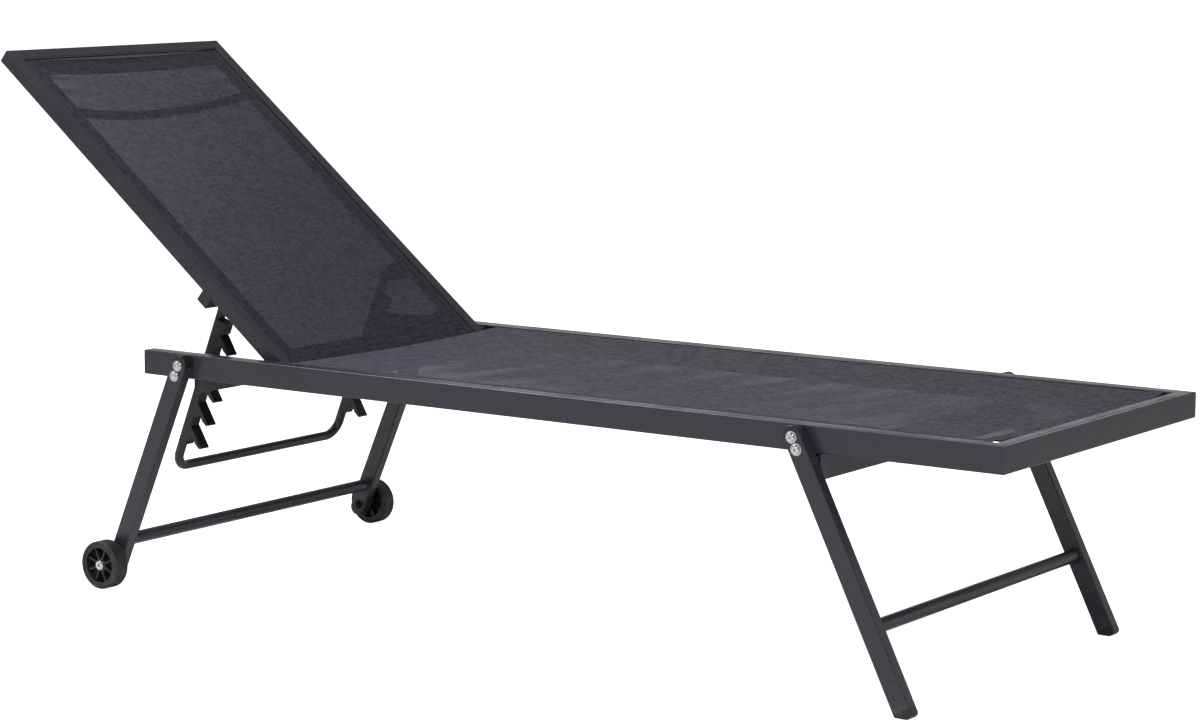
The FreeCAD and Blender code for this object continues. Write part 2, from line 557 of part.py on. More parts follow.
def build_support():
    half, radius = SUPPORT_HALF_WIDTH, SUPPORT_RADIUS
    path = [(0, -half, 0), (0, -half, -SUPPORT_LENGTH), (0, half, -SUPPORT_LENGTH), (0, half, 0)]
    wire = bent_wire(path, SUPPORT_BEND)
    tube = round_bar(wire, radius).cut(round_bar(wire, radius - WALL))
    for side in (-half, half):
        tube = tube.fuse(rod_y(0, 0, side - radius, side + radius, radius))
    for side in (-half, half):
        tube = tube.cut(rod_y(0, 0, side - 20, side + 20, SUPPORT_PIN_RADIUS + RUNNING_GAP))
    add("support_tube", tilted(tube.removeSplitter()))
    add_pair("support_rack", tilted(rack()))

    block_half, bracket_back, web = 10.75, 30.0, 1.0
    pin_tail, clip_thick, clip_radius = 3.5, 1.5, 6.0
    bracket_in = BACK_OUT - BRACKET_WIDTH
    block = box(-SUPPORT_STEP - block_half, -SUPPORT_STEP + block_half, bracket_in, BACK_OUT,
                -bracket_back, -BACK_FRONT)
    pin_hole = rod_y(-SUPPORT_STEP, -SUPPORT_DROP, bracket_in - 1, BACK_OUT - web, SUPPORT_PIN_RADIUS)
    add_group("support_brackets", [raised(block.cut(pin_hole))])
    pin_in = half - radius - pin_tail
    pin = rod_y(-SUPPORT_STEP, -SUPPORT_DROP, pin_in, BACK_OUT - web, SUPPORT_PIN_RADIUS)
    add_group("support_pins", [raised(pin)])
    clip_face = half - radius - FACE_GAP
    clip = rod_y(-SUPPORT_STEP, -SUPPORT_DROP, clip_face - clip_thick, clip_face, clip_radius)
    add_group("support_pin_clips", [raised(clip.cut(pin))])


def rack():
    """Left plastic rack: a spine clipped on the prop tube, with downward hooks on its +X side."""
    spine, block_out, block_end = 13.0, 21.0, 56.0
    y0, y1 = SUPPORT_HALF_WIDTH - RACK_DEPTH / 2, SUPPORT_HALF_WIDTH + RACK_DEPTH / 2
    shape = box(0, spine, y0, y1, -RACK_END, -RACK_TOP)
    shape = shape.fuse(box(0, block_out, y0, y1, -block_end, -RACK_TOP))
    for index in range(HOOKS):
        shape = shape.fuse(hook(HOOK_FIRST + index * HOOK_PITCH, y0, y1))
    bore = Part.makeCylinder(SUPPORT_RADIUS, SUPPORT_LENGTH, V(0, SUPPORT_HALF_WIDTH, -SUPPORT_LENGTH))
    return shape.removeSplitter().cut(bore)


def hook(tip, y0, y1):
    """One finger that slopes down and out from the spine, with a round seat under it."""
    root, seat_radius, seat_out = 10.0, 9.0, 22.5
    outline = [(root, tip - 29), (13.0, tip - 26), (HOOK_REACH - 1, tip - 2), (HOOK_REACH, tip),
               (HOOK_REACH - 3, tip + 2), (seat_out + 7, tip - 3), (seat_out, tip + 2),
               (root, tip + 4)]
    finger = prism([(out, y0, -down) for out, down in outline], (0, y1 - y0, 0))
    return finger.cut(rod_y(seat_out, -tip - 1.5, y0, y1, seat_radius))


# ---- Build and write ----------------------------------------------------------------------
def build():
    build_legs()
    build_seat_frame()
    build_wheels()
    build_back_frame()
    build_hinges()
    build_slings()
    build_support()


def write():
    os.makedirs("parts", exist_ok=True)
    for name, shape in nodes.items():
        shape.exportStep(os.path.join("parts", name + ".step"))
    total = Part.makeCompound(list(nodes.values())).BoundBox
    print(len(nodes), "nodes; box", total)
    print("hinge", round(HINGE_X, 2), round(HINGE_Z, 2),
          "prop pivot", round(SUPPORT_X, 2), round(SUPPORT_Z, 2),
          "axle", round(AXLE_X, 2), round(AXLE_Z, 2))


build()
write()
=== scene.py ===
# %% [markdown]
# # A reclining sun lounger
# The lounger's tubes, legs, wheels, bolts and hooked prop come from the CAD frame, which stays where it is.
# What the frame can't hold is made here: the two woven slings with their hems and stitching, the weld
# beads where tubes meet, and the finish of every surface. Lengths are in metres. +X points to the foot
# end, +Y to the user's left and +Z up.

# %% Load the frame
import json
import math

import bpy
from mathutils import Matrix, Vector


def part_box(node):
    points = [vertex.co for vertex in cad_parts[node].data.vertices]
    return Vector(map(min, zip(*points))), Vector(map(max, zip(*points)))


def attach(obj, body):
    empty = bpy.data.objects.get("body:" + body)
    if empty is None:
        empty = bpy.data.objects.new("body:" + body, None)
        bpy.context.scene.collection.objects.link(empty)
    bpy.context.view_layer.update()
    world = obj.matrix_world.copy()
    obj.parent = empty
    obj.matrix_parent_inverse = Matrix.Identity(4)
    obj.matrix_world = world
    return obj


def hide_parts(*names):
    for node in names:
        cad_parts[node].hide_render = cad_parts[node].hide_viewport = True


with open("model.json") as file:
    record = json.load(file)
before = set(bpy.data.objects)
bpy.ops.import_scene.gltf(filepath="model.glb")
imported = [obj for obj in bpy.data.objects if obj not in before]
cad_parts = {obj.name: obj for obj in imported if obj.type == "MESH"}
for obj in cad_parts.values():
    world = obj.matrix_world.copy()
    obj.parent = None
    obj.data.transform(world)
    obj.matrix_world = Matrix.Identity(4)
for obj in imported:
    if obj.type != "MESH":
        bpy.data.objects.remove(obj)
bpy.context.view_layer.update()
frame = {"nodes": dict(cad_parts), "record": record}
record = frame["record"]
MM = 0.001

# %% [markdown]
# The camera stands low beside the foot end and looks along the lounger towards its raised back. It is
# placed from the point it looks at, by a distance, a turn round the object and a height angle, because
# those four are easy to reason about. A long lens keeps the far legs nearly as large as the near ones.

# %% Camera
LOOK_AT = Vector((0.0804, 0.0, 0.3872))
CAMERA_DISTANCE = 4.8956
CAMERA_AZIMUTH = math.radians(34.875)
CAMERA_ELEVATION = math.radians(8.165)
CAMERA_ROLL = math.radians(0.297)

back_to_camera = Vector((math.sin(CAMERA_AZIMUTH) * math.cos(CAMERA_ELEVATION),
                         -math.cos(CAMERA_AZIMUTH) * math.cos(CAMERA_ELEVATION),
                         math.sin(CAMERA_ELEVATION)))
camera = bpy.data.objects.new("camera", bpy.data.cameras.new("camera"))
bpy.context.scene.collection.objects.link(camera)
camera.data.sensor_width = 36.0
camera.data.lens = 96.38
camera.location = LOOK_AT + back_to_camera * CAMERA_DISTANCE
level_view = back_to_camera.to_track_quat("Z", "Y").to_matrix().to_4x4()
camera.rotation_mode = "QUATERNION"
roll = Matrix.Rotation(CAMERA_ROLL, 4, "Z")
camera.rotation_quaternion = (level_view @ roll).to_quaternion()
bpy.context.scene.camera = camera
print("camera at", [round(value, 3) for value in camera.location])

# %% [markdown]
# These helpers are used by every piece. A new shape starts with nothing selected, because an operator
# acts on all that is selected. A finished one has its turn and place written into its mesh, so its object
# sits at the origin as the frame's do.


# %% Shape helpers
def start_fresh():
    """Leave nothing selected."""
    bpy.ops.object.select_all(action="DESELECT")


def select_where(piece, test):
    """In edit mode, keep only the vertices that pass the test."""
    bpy.ops.object.mode_set(mode="OBJECT")
    for edge in piece.data.edges:
        edge.select = False
    for face in piece.data.polygons:
        face.select = False
    for vertex in piece.data.vertices:
        vertex.select = test(vertex.co)
    bpy.ops.object.mode_set(mode="EDIT")
    bpy.ops.mesh.select_mode(type="VERT")


def settle(piece, name):
    """Name a piece and write its place into its mesh."""
    start_fresh()
    piece.select_set(True)
    bpy.context.view_layer.objects.active = piece
    bpy.ops.object.transform_apply(location=True, rotation=True, scale=True)
    piece.name = name
    piece.data.name = name
    return piece


def join(pieces, name):
    """Make one piece of several."""
    start_fresh()
    for piece in pieces:
        piece.select_set(True)
    bpy.context.view_layer.objects.active = pieces[0]
    bpy.ops.object.join()
    return settle(pieces[0], name)


def report(piece):
    faces = len(piece.data.polygons)
    size = [round(value / MM, 1) for value in piece.dimensions]
    print(f"{piece.name}: {faces} faces, {size} mm")


# %% [markdown]
# The slings hang between grooves in the tubes, so their places come from the frame's own boxes. The back
# is easiest to shape lying level, with its hinge at the origin, -X up the back and +Z out of its front
# face. Then it is turned to its resting angle and carried to the hinge.

# %% Places taken from the frame
REST_ANGLE = math.radians(38.5)
joint = {item["name"]: item for item in record["behaviour"]["joints"]}["backrest_recline"]
HINGE = Vector(joint["pos_m"])

seat_low, seat_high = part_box("seat_sling")
rail_low, rail_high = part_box("side_rail_left")
SEAT_HALF = seat_high.y
SEAT_EDGE_Z = (seat_low.z + seat_high.z) / 2
RAIL_INNER = rail_low.y

BACK_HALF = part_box("back_sling")[1].y
BACK_TOP = -0.713           # the sling's upper end, from the hinge
BACK_FOOT = 0.012           # its lower end, just past the hinge
BACK_EDGE_Z = 0.0069        # its edge rods, in front of the tubes' middle plane
BACK_TUBE_INNER = 0.2335    # inner faces of the back's side tubes
print("seat sling", round(seat_low.x, 4), "to", round(seat_high.x, 4), "half width", round(SEAT_HALF, 4))


def raise_back(piece, name):
    """Turn a level back piece to the resting angle about the hinge."""
    piece.rotation_euler = (0.0, REST_ANGLE, 0.0)
    piece.location = HINGE
    return settle(piece, name)


# %% [markdown]
# A sling is pulled tight sideways by a rod sewn into each edge, and only its two free ends are slack. So
# the cloth climbs out of its slot over the folded hem, runs almost flat, and dips a few millimetres in
# the middle. The free edges bow inwards. Very shallow waves run between the rods where the pull is uneven.


# %% Shape of the stretched cloth
def ease(value):
    """0 to 1 with soft ends."""
    value = max(0.0, min(1.0, value))
    return value * value * (3.0 - 2.0 * value)


SEAT_RISE = 3.4 * MM
SEAT_DIP = 4.2 * MM
SEAT_EDGE_BOW = 5.0 * MM
SHOULDER = 13.0 * MM
CORNER_CURL = 3.0 * MM


def seat_point(x, y):
    """A point of the level seat sheet moved to where the tight cloth lies."""
    across = abs(y) / SEAT_HALF
    inward = SEAT_HALF - abs(y)
    free = 1.0 - across * across
    foot = ease((x - seat_high.x + 0.25) / 0.25)
    head = ease((seat_low.x + 0.16 - x) / 0.16)
    height = SEAT_RISE * ease(inward / SHOULDER) - SEAT_DIP * free * (1.0 + 0.35 * foot)
    height += 0.22 * MM * free * math.sin(x * 31.0 + 2.0 * y) * math.sin(y * 11.0 + 1.3)
    height += 0.16 * MM * free * math.sin(x * 63.0 - 9.0 * y)
    corner = ease((x - seat_high.x + 0.034) / 0.034) * ease((0.032 - inward) / 0.020)
    height += CORNER_CURL * corner * ease(inward / 0.006)
    moved = x - SEAT_EDGE_BOW * free * ease(foot) ** 3 + 2.5 * MM * free * head ** 3
    return Vector((moved, y, SEAT_EDGE_Z + height))


BACK_RISE = 2.6 * MM
BACK_DIP = 6.5 * MM
BACK_EDGE_BOW = 3.0 * MM


def back_point(x, y):
    """The same for the back, in the back's own level space."""
    across = abs(y) / BACK_HALF
    inward = BACK_HALF - abs(y)
    free = 1.0 - across * across
    top = ease((BACK_TOP + 0.16 - x) / 0.16)
    low = ease((x - BACK_FOOT + 0.14) / 0.14)
    height = BACK_RISE * ease(inward / SHOULDER) - BACK_DIP * free * (1.0 - 0.3 * top - 0.3 * low)
    height += 0.25 * MM * free * math.sin(x * 27.0 + 3.0 * y)
    crease = math.exp(-((across - 0.86) / 0.16) ** 2)
    height += 0.9 * MM * crease * top * math.sin((x - BACK_TOP) * 185.0 + 1.0) * ease(inward / 0.03)
    moved = x + BACK_EDGE_BOW * free * top ** 3 - BACK_EDGE_BOW * free * low ** 3
    return Vector((moved, y, BACK_EDGE_Z + height))


# %% [markdown]
# Each layer of cloth is a grid of about one-centimetre squares. The grid is added at its size, moved to
# its place, and its points are laid on the shape above. Solidify then gives it the thickness of coated
# yarn, with closed edges. Hems are a second, narrow layer just under the first, as the fold is on the
# real sling, so they lie deeper by one thickness.

# %% Cloth layers
CLOTH = 1.1 * MM
FOLD = 1.25 * MM


def cloth_layer(name, x0, x1, y0, y1, lay, drop=0.0, cell=0.010, thickness=CLOTH):
    """A closed layer of cloth over the rectangle x0..x1, y0..y1, laid by a shape function."""
    start_fresh()
    columns = max(2, round((x1 - x0) / cell))
    rows = max(2, round((y1 - y0) / cell))
    bpy.ops.mesh.primitive_grid_add(x_subdivisions=columns, y_subdivisions=rows, size=1.0)
    piece = bpy.context.object
    bpy.ops.object.mode_set(mode="EDIT")
    bpy.ops.transform.resize(value=(x1 - x0, y1 - y0, 1.0))
    bpy.ops.transform.translate(value=((x0 + x1) / 2, (y0 + y1) / 2, 0.0))
    bpy.ops.object.mode_set(mode="OBJECT")
    for vertex in piece.data.vertices:
        vertex.co = lay(vertex.co.x, vertex.co.y) - Vector((0.0, 0.0, drop))
    solid = piece.modifiers.new("cloth thickness", "SOLIDIFY")
    solid.thickness = thickness
    solid.offset = 0.0
    bpy.ops.object.modifier_apply(modifier=solid.name)
    bpy.ops.object.shade_smooth_by_angle(angle=math.radians(40.0))
    return settle(piece, name)


# %% Seat sling
SIDE_HEM = 30.0 * MM
END_HEM = 24.0 * MM
seat_cloth = cloth_layer("seat_cloth", seat_low.x, seat_high.x, -SEAT_HALF, SEAT_HALF, seat_point)
seat_side_hems = join(
    [cloth_layer("hem", seat_low.x + FOLD, seat_high.x - FOLD, low, low + SIDE_HEM - 2 * MM, seat_point,
                 drop=FOLD, cell=0.007)
     for low in (-SEAT_HALF + 2 * MM, SEAT_HALF - SIDE_HEM)], "seat_side_hems")
seat_end_hems = join(
    [cloth_layer("hem", low, low + END_HEM, -SEAT_HALF + SIDE_HEM, SEAT_HALF - SIDE_HEM, seat_point,
                 drop=FOLD, cell=0.008)
     for low in (seat_low.x + FOLD, seat_high.x - END_HEM - FOLD)], "seat_end_hems")
for piece in (seat_cloth, seat_side_hems, seat_end_hems):
    report(piece)

# %% [markdown]
# The back sling is made the same way in its level space. Its hems show as dark bands through the front,
# because two layers of weave let no light past. The hem at the top is wider and is turned over the end
# of the cloth like a sleeve.

# %% Back sling
TOP_HEM = 34.0 * MM
BACK_SIDE_HEM = 32.0 * MM
back_layers = [cloth_layer("back", BACK_TOP, BACK_FOOT, -BACK_HALF, BACK_HALF, back_point)]
back_sides = [cloth_layer("hem", BACK_TOP + FOLD, BACK_FOOT - FOLD, low, low + BACK_SIDE_HEM - 2 * MM,
                          back_point, drop=FOLD, cell=0.007)
              for low in (-BACK_HALF + 2 * MM, BACK_HALF - BACK_SIDE_HEM)]
back_ends = [cloth_layer("hem", low, low + width, -BACK_HALF + BACK_SIDE_HEM, BACK_HALF - BACK_SIDE_HEM,
                         back_point, drop=FOLD, cell=0.008)
             for low, width in ((BACK_TOP + FOLD, TOP_HEM), (BACK_FOOT - END_HEM - FOLD, END_HEM))]
back_cloth = raise_back(back_layers[0], "back_cloth")
back_side_hems = raise_back(join(back_sides, "hems"), "back_side_hems")
back_end_hems = raise_back(join(back_ends, "hems"), "back_end_hems")
for piece in (back_cloth, back_side_hems, back_end_hems):
    report(piece)

# %% [markdown]
# Hems are held by lockstitch in a thick thread. One stitch is a short, six-sided grain with pinched ends
# that dips into the cloth. It is modelled once, repeated along the row by an Array, and the row is then
# laid on the cloth by the same shape function, so it follows every dip.

# %% Stitch rows
STITCH_LENGTH = 3.0 * MM
STITCH_PITCH = 4.2 * MM
THREAD = 0.42 * MM


def stitch_row(name, start, end, fixed, along_x, lay):
    """A row of stitches from start to end, at one fixed distance on the other axis."""
    start_fresh()
    turn = (0.0, math.pi / 2, 0.0) if along_x else (math.pi / 2, 0.0, 0.0)
    bpy.ops.mesh.primitive_cylinder_add(vertices=6, radius=THREAD, depth=STITCH_LENGTH * 0.55, rotation=turn)
    stitch = bpy.context.object
    bpy.ops.object.transform_apply(location=True, rotation=True, scale=True)
    axis = 0 if along_x else 1
    bpy.ops.object.mode_set(mode="EDIT")
    for side in (-1, 1):
        select_where(stitch, lambda co, side=side: co[axis] * side > 0.0)
        bpy.ops.mesh.select_mode(type="FACE")
        bpy.ops.mesh.extrude_region_move(TRANSFORM_OT_translate={
            "value": tuple(side * STITCH_LENGTH * 0.22 if i == axis else 0.0 for i in range(3))})
        bpy.ops.transform.resize(value=(1.0 if axis == 0 else 0.35, 1.0 if axis == 1 else 0.35, 0.35))
        bpy.ops.transform.translate(value=(0.0, 0.0, -THREAD * 0.6))
    bpy.ops.object.mode_set(mode="OBJECT")
    count = int((end - start) / STITCH_PITCH)
    array = stitch.modifiers.new("row", "ARRAY")
    array.use_relative_offset = False
    array.use_constant_offset = True
    array.constant_offset_displace = tuple(STITCH_PITCH if i == axis else 0.0 for i in range(3))
    array.count = count
    bpy.ops.object.modifier_apply(modifier=array.name)
    first = start + STITCH_PITCH / 2
    for vertex in stitch.data.vertices:
        x = vertex.co.x + (first if along_x else fixed)
        y = vertex.co.y + (fixed if along_x else first)
        vertex.co = lay(x, y) + Vector((0.0, 0.0, vertex.co.z + CLOTH / 2))
    bpy.ops.object.shade_smooth()
    return settle(stitch, name)


ROW_END = 4 * MM            # cloth end to the first and last stitch of a side row
EDGE_ROW = 11.5 * MM        # cloth edge to the outer side row
SEAT_HEM_ROW = 27.0 * MM    # and to the inner one, on the seat
BACK_HEM_ROW = 29.0 * MM    # and on the back
END_ROW = 21 * MM           # cloth end to the row across it
TOP_ROWS = (5 * MM, 31 * MM)    # the two rows of the back's top hem

seat_rows = [stitch_row("row", seat_low.x + ROW_END, seat_high.x - ROW_END, side * (SEAT_HALF - inset),
                        True, seat_point)
             for side in (-1, 1) for inset in (EDGE_ROW, SEAT_HEM_ROW)]
seat_rows += [stitch_row("row", -SEAT_HALF + SIDE_HEM, SEAT_HALF - SIDE_HEM, x, False, seat_point)
              for x in (seat_low.x + END_ROW, seat_high.x - END_ROW)]
seat_stitches = join(seat_rows, "seat_stitches")

back_rows = [stitch_row("row", BACK_TOP + ROW_END, BACK_FOOT - ROW_END, side * (BACK_HALF - inset),
                        True, back_point)
             for side in (-1, 1) for inset in (EDGE_ROW, BACK_HEM_ROW)]
back_rows += [stitch_row("row", -BACK_HALF + BACK_SIDE_HEM, BACK_HALF - BACK_SIDE_HEM, x, False, back_point)
              for x in (BACK_TOP + TOP_ROWS[0], BACK_TOP + TOP_ROWS[1], BACK_FOOT - END_ROW)]
back_stitches = raise_back(join(back_rows, "rows"), "back_stitches")
report(seat_stitches)
report(back_stitches)

# %% [markdown]
# The tubes are joined by short welds that stay visible under the paint. A bead round a tube starts as a
# thin torus, and a straight one as a ten-sided bar cut into short lengths. Both then get the shallow
# ripple that a welder leaves, by moving each ring of points in and out.

# %% Weld beads
BEAD = 1.9 * MM
RIPPLE = 0.28
BEAD_RISE = 0.35            # share of a bead's radius that its middle stands off the tube


def ring_bead(centre, radius, tilt=0.0):
    """A bead round a tube that runs along Y, tilted about X where the tube meets its neighbour at a slant."""
    start_fresh()
    middle_radius = radius + BEAD * BEAD_RISE
    bpy.ops.mesh.primitive_torus_add(major_radius=middle_radius, minor_radius=BEAD, major_segments=72,
                                     minor_segments=8, rotation=(math.pi / 2 + tilt, 0.0, 0.0),
                                     location=centre)
    bead = bpy.context.object
    for vertex in bead.data.vertices:
        angle = math.atan2(vertex.co.y, vertex.co.x)
        middle = Vector((math.cos(angle), math.sin(angle), 0.0)) * middle_radius
        swell = 1.0 + RIPPLE * math.sin(angle * 18.0) * math.cos(angle * 5.0 + centre[1] * 9.0)
        vertex.co = middle + (vertex.co - middle) * swell
    bpy.ops.object.shade_smooth()
    return settle(bead, "bead")


def line_bead(start, end):
    """A straight bead between two points."""
    start_fresh()
    start, end = Vector(start), Vector(end)
    span = end - start
    bpy.ops.mesh.primitive_cylinder_add(vertices=10, radius=BEAD, depth=span.length)
    bead = bpy.context.object
    bpy.ops.object.mode_set(mode="EDIT")
    pieces = max(4, int(span.length / (0.9 * MM)))
    for index in range(1, pieces):
        bpy.ops.mesh.select_all(action="SELECT")
        height = span.length * (index / pieces - 0.5)
        bpy.ops.mesh.bisect(plane_co=(0.0, 0.0, height), plane_no=(0.0, 0.0, 1.0))
    bpy.ops.object.mode_set(mode="OBJECT")
    for vertex in bead.data.vertices:
        edge = ease((span.length / 2 - abs(vertex.co.z)) / (2 * BEAD))
        swell = (0.45 + 0.55 * edge) * (1.0 + RIPPLE * math.sin(vertex.co.z / MM * 3.1))
        vertex.co.x *= swell
        vertex.co.y *= swell
    bpy.ops.object.shade_smooth_by_angle(angle=math.radians(60.0))
    bead.rotation_euler = span.to_track_quat("Z", "Y").to_euler()
    bead.location = (start + end) / 2
    return settle(bead, "bead")


def tube_end_beads(node, radius, inset=0.6 * MM):
    """A ring bead at each end of a straight tube across the lounger."""
    low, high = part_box(node)
    middle = (low + high) / 2
    return [ring_bead((middle.x, y, middle.z), radius) for y in (low.y + inset, high.y - inset)]


CROSS_RADIUS = 10.0 * MM
base_beads = tube_end_beads("front_cross_tube", CROSS_RADIUS)
base_beads += tube_end_beads("rear_cross_tube", CROSS_RADIUS)
base_beads += tube_end_beads("seat_head_bar", CROSS_RADIUS)
for node in ("front_crossbar", "catch_bar"):
    low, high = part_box(node)
    for side in (-1, 1):
        near, far = side * (RAIL_INNER + 2 * MM), side * (high.y - 1 * MM)
        for x in (low.x, high.x):
            base_beads.append(line_bead((x, near, high.z), (x, far, high.z)))
base_welds = join(base_beads, "base_welds")
report(base_welds)

# %% Weld beads on the back frame
BOW_STEP, BENT_STEP = -0.608, -0.060
BAR_RADIUS = 7.5 * MM
BRACKET_STEP, BRACKET_HALF = -0.1755, 0.01075
BRACKET_BEAD_IN, BRACKET_BEAD_OUT = 0.2350, 0.2520
TUBE_REAR = -11.6 * MM      # rear faces of the back's side tubes, where the brackets sit
BAR_ENDS = ((BOW_STEP, -3.0 * MM, 14.0), (BENT_STEP, -4.4 * MM, 31.0))  # place, height, slant in degrees
back_beads = []
for side in (-1, 1):
    for step, height, slant in BAR_ENDS:
        centre = (step, side * BACK_TUBE_INNER, height)
        back_beads.append(ring_bead(centre, BAR_RADIUS, side * math.radians(slant)))
    for x in (BRACKET_STEP - BRACKET_HALF, BRACKET_STEP + BRACKET_HALF):
        back_beads.append(line_bead((x, side * BRACKET_BEAD_IN, TUBE_REAR),
                                    (x, side * BRACKET_BEAD_OUT, TUBE_REAR)))
back_welds = raise_back(join(back_beads, "beads"), "back_welds")
report(back_welds)

# %% [markdown]
# Each piece now rides on the body it is fixed to, and the two slings stand for the plain slabs of the
# frame.

# %% Bodies
for piece in (seat_cloth, seat_side_hems, seat_end_hems, seat_stitches, base_welds):
    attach(piece, "base_frame")
for piece in (back_cloth, back_side_hems, back_end_hems, back_stitches, back_welds):
    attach(piece, "backrest")
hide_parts("seat_sling")
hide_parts("back_sling")

# %% [markdown]
# ## Finishes
# Surface effects that several finishes share are node groups with named inputs and outputs. A group only
# gives out values and colours. The shader itself stays in each material. A few short helpers keep the
# node code readable: one makes a group, one adds a node, one does arithmetic.


# %% Node helpers
def new_group(name, inputs, outputs):
    """An empty shader node group with its sockets; returns the tree and its two end nodes."""
    tree = bpy.data.node_groups.new(name, "ShaderNodeTree")
    for label, kind, value in inputs:
        socket = tree.interface.new_socket(label, in_out="INPUT", socket_type="NodeSocket" + kind)
        if value is not None:
            socket.default_value = value
    for label, kind in outputs:
        tree.interface.new_socket(label, in_out="OUTPUT", socket_type="NodeSocket" + kind)
    return tree, tree.nodes.new("NodeGroupInput"), tree.nodes.new("NodeGroupOutput")


def put(tree, kind, links=None, **settings):
    """Add a node, set its properties, and link or set its inputs by name or number."""
    node = tree.nodes.new(kind)
    for key, value in settings.items():
        setattr(node, key, value)
    for key, value in (links or {}).items():
        if isinstance(value, bpy.types.NodeSocket):
            tree.links.new(value, node.inputs[key])
        else:
            node.inputs[key].default_value = value
    return node


def sum_up(tree, operation, first, second=0.0, third=None):
    """One Math node; returns its output."""
    links = {0: first, 1: second}
    if third is not None:
        links[2] = third
    return put(tree, "ShaderNodeMath", links, operation=operation).outputs[0]


def fade(tree, value, low, high, out_low=0.0, out_high=1.0):
    """A soft step from out_low to out_high as value goes from low to high."""
    links = {"Value": value, "From Min": low, "From Max": high, "To Min": out_low, "To Max": out_high}
    return put(tree, "ShaderNodeMapRange", links, interpolation_type="SMOOTHSTEP").outputs[0]


def blend(tree, factor, first, second):
    """Mix two colours; returns the colour output."""
    node = put(tree, "ShaderNodeMix", data_type="RGBA")
    for socket, value in ((node.inputs[0], factor), (node.inputs[6], first), (node.inputs[7], second)):
        if isinstance(value, bpy.types.NodeSocket):
            tree.links.new(value, socket)
        else:
            socket.default_value = value
    return node.outputs[2]


def noise(tree, vector, scale, detail=3.0, roughness=0.55):
    links = {"Vector": vector, "Scale": scale, "Detail": detail, "Roughness": roughness}
    return put(tree, "ShaderNodeTexNoise", links, noise_dimensions="3D").outputs[0]


# %% [markdown]
# Sling cloth is a plain weave of coated polyester yarn, open enough to see through. The pattern is drawn
# on coordinates in metres that lie in the cloth: each yarn is a rounded ridge, a checker says which yarn
# is on top at a crossing, and where two gaps cross there is a hole. The tone carries painted shade: it is
# darker at each yarn's edges, in the gaps, and where a yarn runs under its neighbour. Long thin streaks
# along both yarn directions give the slightly uneven, heathered look.

# %% Open weave group
WEAVE_PITCH = 0.0018        # yarn to yarn
WARP_STREAKS = (60.0, 380.0, 60.0)      # streaks per metre: long in X, thin in Y
WEFT_STREAKS = (420.0, 70.0, 70.0)      # thin in X, long in Y
weave, start, end = new_group(
    "open_weave",
    [("Vector", "Vector", None), ("Pitch", "Float", WEAVE_PITCH), ("Hole Alpha", "Float", 0.8),
     ("Streaks", "Float", 0.5)],
    [("Tone And Painted Shade", "Float"), ("Alpha", "Float"), ("Height", "Float")])
per_yarn = sum_up(weave, "DIVIDE", 1.0, start.outputs["Pitch"])
scaled = put(weave, "ShaderNodeVectorMath", {0: start.outputs["Vector"], 3: per_yarn},
             operation="SCALE").outputs[0]
place = put(weave, "ShaderNodeSeparateXYZ", {0: scaled})
off_warp = sum_up(weave, "ABSOLUTE", sum_up(weave, "SUBTRACT", sum_up(weave, "FRACT", place.outputs[0]), 0.5))
off_weft = sum_up(weave, "ABSOLUTE", sum_up(weave, "SUBTRACT", sum_up(weave, "FRACT", place.outputs[1]), 0.5))
flat_place = put(weave, "ShaderNodeCombineXYZ", {0: place.outputs[0], 1: place.outputs[1], 2: 0.5}).outputs[0]
on_top = put(weave, "ShaderNodeTexChecker", {"Vector": flat_place, "Scale": 1.0}).outputs["Fac"]
warp = fade(weave, off_warp, 0.48, 0.10)
weft = fade(weave, off_weft, 0.48, 0.10)
warp_up = sum_up(weave, "MULTIPLY", warp, fade(weave, on_top, 0.0, 1.0, 0.45, 1.0))
weft_up = sum_up(weave, "MULTIPLY", weft, fade(weave, on_top, 0.0, 1.0, 1.0, 0.45))
ridge = sum_up(weave, "MAXIMUM", warp_up, weft_up)
gap = sum_up(weave, "MULTIPLY", fade(weave, off_warp, 0.14, 0.34), fade(weave, off_weft, 0.14, 0.34))
along = put(weave, "ShaderNodeVectorMath", {0: start.outputs["Vector"], 1: WARP_STREAKS},
            operation="MULTIPLY").outputs[0]
cross = put(weave, "ShaderNodeVectorMath", {0: start.outputs["Vector"], 1: WEFT_STREAKS},
            operation="MULTIPLY").outputs[0]
streak = sum_up(weave, "ADD", noise(weave, along, 1.0, 2.0), noise(weave, cross, 1.0, 2.0))
streak = sum_up(weave, "MULTIPLY", sum_up(weave, "SUBTRACT", streak, 1.0), start.outputs["Streaks"])
# Painted shade: the tone drops at the yarn's edges, in the gaps and where a yarn runs under its neighbour.
# The streaks are the yarn's own uneven colour.
tone_and_painted_shade = sum_up(weave, "ADD", sum_up(weave, "MULTIPLY_ADD", ridge, 0.6, 0.2), streak)
alpha = sum_up(weave, "MULTIPLY_ADD", gap, sum_up(weave, "SUBTRACT", start.outputs["Hole Alpha"], 1.0), 1.0)
weave.links.new(tone_and_painted_shade, end.inputs["Tone And Painted Shade"])
weave.links.new(alpha, end.inputs["Alpha"])
weave.links.new(ridge, end.inputs["Height"])
print("open_weave:", len(weave.nodes), "nodes")

# %% [markdown]
# Painted, moulded and turned surfaces share two effects. Grain is the fine bumpiness of powder coat or
# moulded plastic. Handling is the slow change of gloss where a surface has been touched and wiped.

# %% Grain and handling groups
grain, start, end = new_group("grain", [("Vector", "Vector", None), ("Size", "Float", 0.001)],
                              [("Mask", "Float"), ("Height", "Float")])
per_grain = sum_up(grain, "DIVIDE", 1.0, start.outputs["Size"])
coarse = noise(grain, start.outputs["Vector"], per_grain, 2.0)
fine = noise(grain, start.outputs["Vector"], sum_up(grain, "MULTIPLY", per_grain, 3.7), 1.0)
both = sum_up(grain, "MULTIPLY_ADD", fine, 0.4, sum_up(grain, "MULTIPLY", coarse, 0.6))
grain.links.new(fade(grain, both, 0.35, 0.65), end.inputs["Mask"])
grain.links.new(both, end.inputs["Height"])

